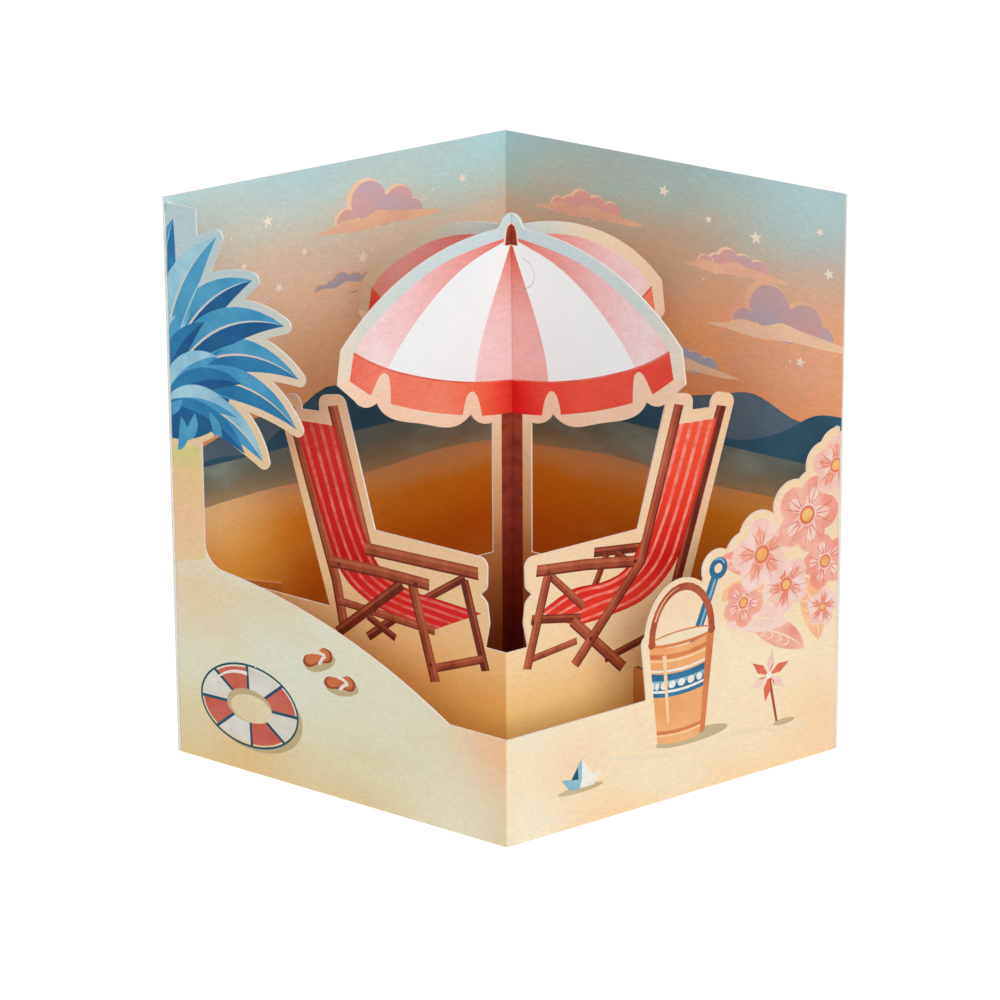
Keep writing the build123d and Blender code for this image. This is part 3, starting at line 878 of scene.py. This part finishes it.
boat_place = Vector((71.5, 11))
on_front(ring_shade, disc(boat_place + Vector((0.4, -2.6)), 6, 0.8))
for colour, shape in (
    (toy_white, ((-5.6, 0.6), (-3.2, -2.4), (3.2, -2.4), (5.6, 0.6), (0, -0.4))),
    (toy_pale_blue, ((0, -0.4), (5.6, 0.6), (3.2, -2.4), (0.6, -2.4))),
    (toy_white, ((-2.9, 0), (0, 4.4), (0, -0.4))),
    (rope_ink, ((0, 4.4), (2.9, 0), (0, -0.4))),
    (toy_pale_blue, ((0, 4.4), (1.1, 2.6), (0.9, -0.25), (0, -0.4))),
):
    on_front(colour, placed(shape, boat_place))
front_piece = front_print.press("front_sheet_print")
speckle(front_piece, "sand_specks",
        seed=11, count_per_m2=5000.0, lowest=1, highest=33, radius=0.17)

# Chair row
# A folded strip of card behind the front, cut as two deck chairs that stand on sand. It is parallel to
# the front sheet and is glued to the back sheet by a tab at each end, and both its sides are printed.
row_setback = 14
row_width = panel_width - row_setback
row_corner = left_edge + to_back * row_setback + to_front * corner_shift
row_fold = left_edge + to_back * row_setback + to_front * row_width
row_right_corner = Vector((-row_corner.x, row_corner.y))

row_sand = blend_ink(
    "row_sand_ink",
    ((0, (218, 126, 38)), (8, (244, 168, 74)), (16, (253, 200, 114)), (26, (253, 212, 146)),
     (37, (252, 220, 170)), (50, (249, 219, 178)), (86, (246, 209, 174))),
    2.6,
    tint=((244, 176, 96), 26, 0.5, 0.74, 0.35),
)
shaded_sand = blend_ink(
    "shaded_sand_ink",
    ((0, (216, 126, 42)), (10, (244, 164, 68)), (18, (252, 180, 86)), (26, (248, 182, 104)),
     (34, (250, 198, 134)), (46, (250, 210, 158)), (86, (244, 200, 162))),
    2.6,
    tint=((238, 160, 76), 26, 0.5, 0.74, 0.35),
)
row_reverse = blend_ink(
    "row_reverse_ink",
    ((0, (196, 96, 20)), (30, (224, 128, 40)), (84, (232, 158, 88))),
    4,
)
wood_stretch = (1, 1, 0.3)
wood = ink("wood_ink", (176, 84, 54), (146, 60, 38), 300, wood_stretch, 0.09)
# Lighter wood for the painted highlight along the chairs' bars.
wood_highlight = ink("wood_highlight_ink", (196, 106, 72), (174, 84, 54), 300, wood_stretch, 0.09)
wood_dark = ink("wood_dark_ink", (124, 44, 28), (98, 30, 20), 300, wood_stretch, 0.09)
cloth_red = blend_ink(
    "cloth_red_ink",
    ((38, (228, 48, 32)), (43, (236, 58, 36)), (48.5, (206, 24, 14)), (54, (220, 36, 20)),
     (64, (242, 62, 34)), (79, (250, 88, 52))),
    1.2,
    grain=0.07,
)
cloth_shaded = blend_ink(
    "cloth_shaded_ink",
    ((38, (226, 40, 34)), (44, (222, 34, 28)), (49, (194, 12, 10)), (56, (206, 18, 14)),
     (66, (214, 26, 20)), (79, (226, 48, 38))),
    1.2,
    grain=0.07,
)
cloth_deep = ink("cloth_deep_ink", (192, 18, 12), (174, 12, 10), 150)
cloth_stripe = ink("cloth_stripe_ink", (250, 152, 134), (240, 104, 84), 420, grain=0.09)
stripe_shaded = ink("stripe_shaded_ink", (236, 116, 104), (214, 72, 58), 420, grain=0.09)

row_corners = (row_corner + to_back * corner_reach, row_corner, row_fold, row_right_corner,
               row_right_corner - to_front * corner_reach)
row_print = Print("chair_row", row_corners, outer_crease, row_sand)
on_row = row_print.paint
row_fold_at = corner_reach + (row_fold - row_corner).length


def striped_cloth(red, stripe, inner, outer):
    """Deck chair's sling between its two long edges, with stripes along it."""
    inner, outer = smooth(inner), smooth(outer)
    cloth = on_row(red, inner + outer[::-1])
    for share in (0.13, 0.37, 0.61, 0.86):
        line = [Vector(a).lerp(Vector(b), share) for a, b in zip(inner, outer)]
        on_row(stripe, ribbon(line, 1, 0.55), cloth)
    for edge in (inner, outer):
        on_row(cloth_deep, ribbon(edge, 0.4), cloth)


def bar(ink, width, *line):
    """Wooden bar of a deck chair, with a painted highlight along its upper side and painted shade along its
    lower edge.
    """
    whole = on_row(ink, ribbon(line, width))
    upwards = -right_of(Vector(line[-1]) - Vector(line[0])).normalized()
    if upwards.dot(Vector((-0.2, 1))) < 0:
        upwards = -upwards
    # A lighter strip above the middle is a painted highlight, and a dark strip at the lower edge is painted
    # shade.
    for edge, shift, share in ((wood_highlight if ink is wood else wood, 0.22, 0.3), (wood_dark, -0.42, 0.18)):
        strip = [Vector(point) + upwards * shift * width for point in line]
        on_row(edge, ribbon(strip, share * width), whole)


def pins(*spots):
    """Small dark heads of the pins that hold the bars together."""
    for spot in spots:
        on_row(wood_dark, disc(spot, 0.5, count=14))


on_row(shaded_sand, [(-1, -1), (row_fold_at, -1), (row_fold_at, 130), (-1, 130)])
# Places on each chair are measured outwards from the row's fold, here to the left.
row_print.place = lambda out: row_fold_at - out
bar(wood_dark, 1.8, (11, 52), (22.6, 44.2))
bar(wood_dark, 2, (27, 41), (37.6, 32.6))
bar(wood_dark, 1.8, (37.6, 37.4), (30, 34))
bar(wood, 2.8, (46.4, 83.4), (36.4, 49.4))
bar(wood, 2.7, (58.3, 80.8), (46.2, 43.8), (44.2, 33.6))
striped_cloth(
    cloth_shaded,
    stripe_shaded,
    ((45.8, 79), (42.4, 68), (38.6, 57), (33.6, 49), (26, 46), (16, 45.4), (6.6, 44.8)),
    ((57, 78.2), (53.2, 67), (49.2, 55.6), (44.8, 46), (37.6, 41), (29, 39), (19.6, 38.2)),
)
bar(wood_dark, 2.3, (11.2, 51.4), (5.6, 32))
bar(wood, 1.9, (19.2, 38), (45.8, 39.2))
bar(wood, 2.9, (7.4, 53.6), (22, 53.2), (38, 52.8))
bar(wood_dark, 2.4, (28, 46.8), (46, 31.8))
bar(wood, 1.9, (6.2, 34.6), (19.6, 29.4))
bar(wood, 2.6, (25.2, 47.4), (19.2, 26.4))
bar(wood, 2.7, (20.6, 48.2), (34, 48.3), (47.8, 47.8))
pins((24.2, 47.6), (45.4, 47.6), (35.8, 39), (20.4, 30))

row_print.place = lambda out: row_fold_at + out
bar(wood_dark, 2.2, (23.4, 54.8), (38.4, 53))
bar(wood_dark, 1.7, (26.8, 53.6), (22.8, 45.6))
bar(wood_dark, 1.7, (29.4, 53.4), (37.4, 46.8))
bar(wood_dark, 2.7, (58.2, 80.8), (46.4, 44.4), (43.6, 36))
bar(wood_dark, 1.8, (26.4, 29.8), (43.4, 33.4))
striped_cloth(
    cloth_red,
    cloth_stripe,
    ((45.8, 79), (41.6, 67), (37.2, 56.4), (32, 49.4), (25.6, 47.6), (17.4, 47.8), (9, 44.6)),
    ((57, 78.2), (53.2, 67), (49.4, 56.6), (45.6, 47.6), (37.6, 41.4), (28, 39.6), (18.2, 39.2)),
)
bar(wood_dark, 2, (6.6, 43.4), (19.8, 40.8))
bar(wood, 1.6, (6.2, 34.4), (18.8, 35.8))
bar(wood, 2.5, (17.6, 40.6), (31.4, 26.8))
bar(wood, 2.6, (46.4, 83.4), (36.2, 50), (18.2, 30.4))
bar(wood, 1.8, (11.4, 52.4), (20.6, 43.2))
bar(wood, 2.3, (11, 52.4), (5.4, 32.4))
bar(wood, 2.6, (8, 54), (21, 52.6), (34.4, 50.4))
pins((11.2, 52.8), (34.6, 50.4), (22.6, 35.4), (7, 42.4))
row_print.press("chair_row_print")

row_tab = 14.1
row_inner_corner = row_corner + Vector((sheet_thickness / cos(half_angle), 0))
row_inner_right = Vector((-row_inner_corner.x, row_inner_corner.y))
row_inner_fold = row_fold + Vector((0, sheet_thickness / sin(half_angle)))
reverse_corners = (row_inner_right - to_front * row_tab, row_inner_right, row_inner_fold, row_inner_corner,
                   row_inner_corner + to_back * row_tab)
Print("chair_row", reverse_corners, inner_crease, row_reverse).press("chair_row_reverse_print")

# Parasol
# Two flat cut-outs, each a striped canopy on its pole, slotted into each other to stand as an X. The
# canopy has gores of two colours, a notched hem and a small knob, and both sides carry the print.
parasol_aside = 1.3
parasol_setback = 4
rear_wing_share = 0.92
crossing = Vector((parasol_aside, -parasol_setback))
dome_border = blend_ink(
    "dome_border_ink",
    ((0, (204, 220, 224)), (24, (208, 222, 222)), (36, (214, 221, 214)), (42, (228, 221, 206)),
     (46, (246, 218, 194))),
    0.5,
    around=crossing,
)
hem_border = ink("hem_border_ink", (249, 214, 188), (245, 202, 174), 70)
gore_white = ink("gore_white_ink", (247, 248, 248), (243, 244, 245), 60, grain=0.01)
lit_gore = blend_ink(
    "lit_gore_ink",
    ((86, (244, 206, 206)), (94, (244, 208, 208)), (102, (242, 200, 198)), (108, (238, 178, 172)),
     (113, (232, 138, 124)), (117.5, (222, 88, 70))),
    1.6,
    tint=((236, 178, 176), 120, 0.5, 0.75, 0.4),
    grain=0.055,
)
shaded_gore = blend_ink(
    "shaded_gore_ink",
    ((86, (242, 176, 170)), (94, (242, 180, 176)), (102, (238, 174, 170)), (108, (232, 150, 142)),
     (113, (226, 112, 98)), (117.5, (216, 74, 58))),
    1.6,
    tint=((232, 150, 144), 120, 0.5, 0.75, 0.4),
    grain=0.055,
)
rear_border = blend_ink(
    "rear_border_ink",
    ((0, (208, 222, 222)), (10, (216, 218, 206)), (20, (242, 218, 188)), (44, (243, 213, 182))),
    0.5,
    around=crossing,
)
# Darker border and gore inks for the rear half of parasol_b, the wing behind at the left: painted shade, as
# that wing lies in shade behind the front canopy.
shaded_rear_border = blend_ink(
    "shaded_rear_border_ink",
    ((0, (206, 216, 214)), (14, (208, 208, 194)), (26, (216, 198, 170)), (44, (222, 186, 154))),
    0.5,
    around=crossing,
)
shaded_rear_gore = blend_ink(
    "shaded_rear_gore_ink",
    ((2, (226, 96, 84)), (18, (234, 136, 126)), (30, (240, 160, 152)), (44, (236, 130, 120))),
    2.2,
    grain=0.055,
    around=crossing,
)
outer_gore = blend_ink(
    "outer_gore_ink",
    ((2, (228, 104, 90)), (9, (238, 146, 138)), (18, (243, 176, 172)), (27, (246, 202, 202)),
     (36, (248, 222, 224)), (43, (246, 208, 200))),
    2.2,
    tint=((242, 170, 164), 110, 0.5, 0.75, 0.35),
    grain=0.055,
    around=crossing,
)
lit_hem = blend_ink(
    "lit_hem_ink",
    ((0, (222, 44, 30)), (3.5, (234, 68, 44)), (9, (242, 104, 72)), (18, (244, 128, 98)),
     (30, (243, 122, 92)), (38, (242, 124, 100)), (46, (238, 96, 72))),
    2,
    tint=((247, 144, 116), 90, 0.5, 0.75, 0.4),
    grain=0.06,
    around=crossing,
)
shaded_hem = blend_ink(
    "shaded_hem_ink",
    ((0, (212, 8, 6)), (2.5, (220, 20, 16)), (8, (232, 58, 40)), (18, (238, 84, 62)),
     (30, (234, 78, 58)), (44, (232, 68, 50))),
    2,
    tint=((240, 100, 80), 90, 0.5, 0.75, 0.4),
    grain=0.06,
    around=crossing,
)
hem_line = ink("hem_line_ink", (222, 88, 72), (234, 120, 104), 200)
knob_rim = ink("knob_rim_ink", (246, 226, 202), (242, 216, 190), 100)
knob_ink = ink("knob_ink", (158, 62, 42), (128, 40, 26), 300)
pole_edge = blend_ink(
    "pole_edge_ink",
    ((1, (150, 72, 20)), (30, (176, 98, 42)), (50, (204, 132, 74)), (66, (228, 176, 124)),
     (80, (244, 210, 172))),
    2,
)
pole_red = blend_ink(
    "pole_red_ink",
    ((1, (98, 22, 6)), (30, (116, 32, 12)), (56, (142, 48, 26)), (78, (158, 62, 38))),
    3,
    tint=((108, 26, 14), 240, 0.45, 0.7, 0.75),
    grain=0.07,
)

inner_gore_edge = ((0.2, 117.8), (2.8, 111.4), (5.5, 104.9), (7.7, 98.9), (9.4, 92.8), (10.3, 85))
outer_gore_edge = ((1.6, 118.4), (10.4, 115.5), (16.8, 112), (22.2, 107.8), (27, 103.2), (30.6, 99),
                   (34, 94))
dome_line = ((1.9, 119), (9.6, 118.1), (17.4, 116.5), (24.8, 113.6), (31.8, 109.5), (37.6, 105.2),
             (41.5, 100.9))
hem_top = ((0, 87), (10.2, 88.4), (19.8, 90.8), (27.6, 93.5), (33, 95.8), (37.8, 98.4), (41.5, 100.9))
hem_foot = ((0, 79.6), (8, 80.6), (13.3, 81.8), (22.3, 84.3), (32, 88), (37.2, 90.9), (42.6, 95.1))
small_notch = ((8.2, 78), (8.3, 81), (9, 84.2), (10, 86.1), (11, 86.6), (12.1, 85.9), (12.8, 84),
               (13.3, 81.6), (13.4, 78))
large_notch = ((31.8, 84), (32.1, 88), (32.2, 91.6), (32.6, 94.2), (33.8, 95.2), (35.1, 94.4),
               (36.2, 92.6), (37.3, 90.6), (38.4, 87))
knob_core = ((0, 121.9), (0.9, 121.5), (1.4, 120.4), (1.6, 119), (1.8, 117.3))
pole_half = 3
pole_border_half = 5.6


def parasol_print(node, direction, name, inner_gore, hem_ink, rear_inks):
    """Print on one side of a parasol cut-out, seen with its direction to the right."""
    reach = 60
    start = crossing + right_of(direction) * (sheet_thickness / 2) - direction * reach
    sheet = Print(node, (start, start + direction * 2 * reach), 0, pole_edge)
    paint = sheet.paint
    top, foot, seam = smooth(hem_top), smooth(hem_foot), smooth(inner_gore_edge)
    for side in (-1, 1):
        rear = direction.y * side > 0
        share = rear_wing_share if rear else 1
        top_border, wide_gore = rear_inks if rear else (dome_border, outer_gore)
        sheet.place = lambda out, side=side, share=share: reach + side * share * out
        paint(top_border, [(0, 77), (60, 77), (60, 130), (0, 130)])
        paint(hem_border, [*foot, (60, 98), (60, 70), (0, 76)])
        canopy = paint(wide_gore, [(0, 119), *smooth(dome_line), *foot[::-1]])
        paint(gore_white, [(0, 119.2), *smooth(outer_gore_edge), (10, 84), *seam[::-1]], canopy)
        paint(inner_gore, [*seam, (0, 84)], canopy)
        paint(hem_ink, top + foot[::-1])
        paint(hem_line, ribbon([(x, z + 0.1) for x, z in top], 0.32, 0.5))
        for notch in (small_notch, large_notch):
            paint(hem_border, smooth(notch))
        paint(knob_rim, [(0, 117), *((x + 0.45, z + 0.3) for x, z in knob_core[::-1]), (0, 122.3)])
        paint(knob_ink, [(0, 117.3), *smooth(knob_core[::-1])])
        sheet.place = lambda out, side=side: reach + side * out
        paint(pole_edge, [(0, -1), (pole_border_half, -1), (pole_border_half, 78.4), (0, 78.4)])
        paint(pole_red, [(0, -1), (pole_half, -1), (pole_half, 80), (0, 79.8)])
    sheet.press(name)


for direction, name in ((to_back, "parasol_a_print"), (-to_back, "parasol_a_reverse_print")):
    parasol_print("parasol_a", direction, name, lit_gore, lit_hem, (rear_border, outer_gore))
for direction, name in ((to_front, "parasol_b_print"), (-to_front, "parasol_b_reverse_print")):
    # The rear half of parasol_b takes the darker border and gore: painted shade.
    parasol_print("parasol_b", direction, name, shaded_gore, shaded_hem, (shaded_rear_border, shaded_rear_gore))

# Struts
# Two short folded strips of card hold the chair row off the front sheet. They are glued to both and
# carry the same sand colour as the row.
strut_ink = blend_ink(
    "strut_ink",
    ((0, (160, 72, 14)), (14, (180, 98, 36)), (27, (200, 124, 56))),
    2,
)
for name in ("strut_left", "strut_right"):
    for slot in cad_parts[name].material_slots:
        slot.material = strut_ink

# Studio
# A plain pale floor under soft, even light from two large lamps in front. The camera sees the floor and
# the surroundings as white, and the card's shadow stays on the floor.
floor_mesh = bpy.data.meshes.new("floor")
floor_mesh.from_pydata([(-4, -4, 0), (4, -4, 0), (4, 4, 0), (-4, 4, 0)], [], [(0, 1, 2, 3)])
floor = bpy.data.objects.new("floor", floor_mesh)
bpy.context.scene.collection.objects.link(floor)


def seen_directly(tree):
    """Socket that is 1 for what the camera sees, also in a mirror or through glass."""
    path = tree.nodes.new("ShaderNodeLightPath").outputs
    total = path["Is Camera Ray"]
    for name in ("Is Glossy Ray", "Is Transmission Ray"):
        both = {0: total, 1: path[name]}
        total = add_node(tree, "ShaderNodeMath", both, operation="ADD", use_clamp=True).outputs[0]
    return total


floor_lift = 0.70
world_light = 0.575
floor_paint = bpy.data.materials.new("floor_paint")
floor_paint.use_nodes = True
floor_tree = floor_paint.node_tree
dull = floor_tree.nodes["Principled BSDF"]
dull.inputs["Base Color"].default_value = (0.55, 0.55, 0.55, 1.0)
dull.inputs["Roughness"].default_value = 0.9
dull.inputs["Specular IOR Level"].default_value = 0.0
shares = {0: seen_directly(floor_tree), 1: floor_lift}
lift = add_node(floor_tree, "ShaderNodeMath", shares, operation="MULTIPLY")
glow = add_node(floor_tree, "ShaderNodeEmission", {"Strength": lift.outputs[0]})
lifted = add_node(floor_tree, "ShaderNodeAddShader", {0: dull.outputs[0], 1: glow.outputs[0]})
floor_tree.links.new(lifted.outputs[0], floor_tree.nodes["Material Output"].inputs["Surface"])
floor_mesh.materials.append(floor_paint)

world = bpy.data.worlds.new("studio")
bpy.context.scene.world = world
world.use_nodes = True
sky_tree = world.node_tree
background = sky_tree.nodes["Background"]
background.inputs["Color"].default_value = (1.0, 1.0, 1.0, 1.0)
backdrop_strength = remap(sky_tree, seen_directly(sky_tree), 0.0, 1.0, world_light, 1.0)
sky_tree.links.new(backdrop_strength, background.inputs["Strength"])


def lamp(name, place, size, power):
    """Square soft lamp that points at the middle of the card."""
    light = bpy.data.lights.new(name, "AREA")
    light.size = size
    light.energy = power
    item = bpy.data.objects.new(name, light)
    item.location = place
    item.rotation_euler = (card_middle - Vector(place)).to_track_quat("-Z", "Y").to_euler()
    bpy.context.scene.collection.objects.link(item)


card_middle = Vector((0.0, 0.0, 0.06))
lamp("key_light", (1.6, -2.1, 1.3), 2.4, 29.2)
lamp("front_light", (-0.5, -2.6, 1.1), 2.8, 27.6)

camera_place = Vector((0.0028575, -0.97282, 0.39482))
camera_yaw = radians(-0.250)
camera_pitch = radians(19.077)
camera_roll = radians(-0.298)
sensor_width = 36.0
focal_pixels, picture_pixels = 4733.5, 1000
forward = Vector((
    sin(camera_yaw) * cos(camera_pitch),
    cos(camera_yaw) * cos(camera_pitch),
    -sin(camera_pitch),
))
level = Vector((cos(camera_yaw), -sin(camera_yaw), 0.0))
upward = level.cross(forward)
across = level * cos(camera_roll) + upward * sin(camera_roll)
upright = upward * cos(camera_roll) - level * sin(camera_roll)
camera_data = bpy.data.cameras.new("camera")
camera_data.sensor_width = sensor_width
camera_data.lens = focal_pixels / picture_pixels * sensor_width
camera_data.clip_start = 0.01
camera = bpy.data.objects.new("camera", camera_data)
turned = Matrix((across, upright, -forward)).transposed().to_4x4()
camera.matrix_world = Matrix.Translation(camera_place) @ turned
bpy.context.scene.collection.objects.link(camera)
bpy.context.scene.camera = camera
bpy.context.scene.view_settings.view_transform = "Standard"
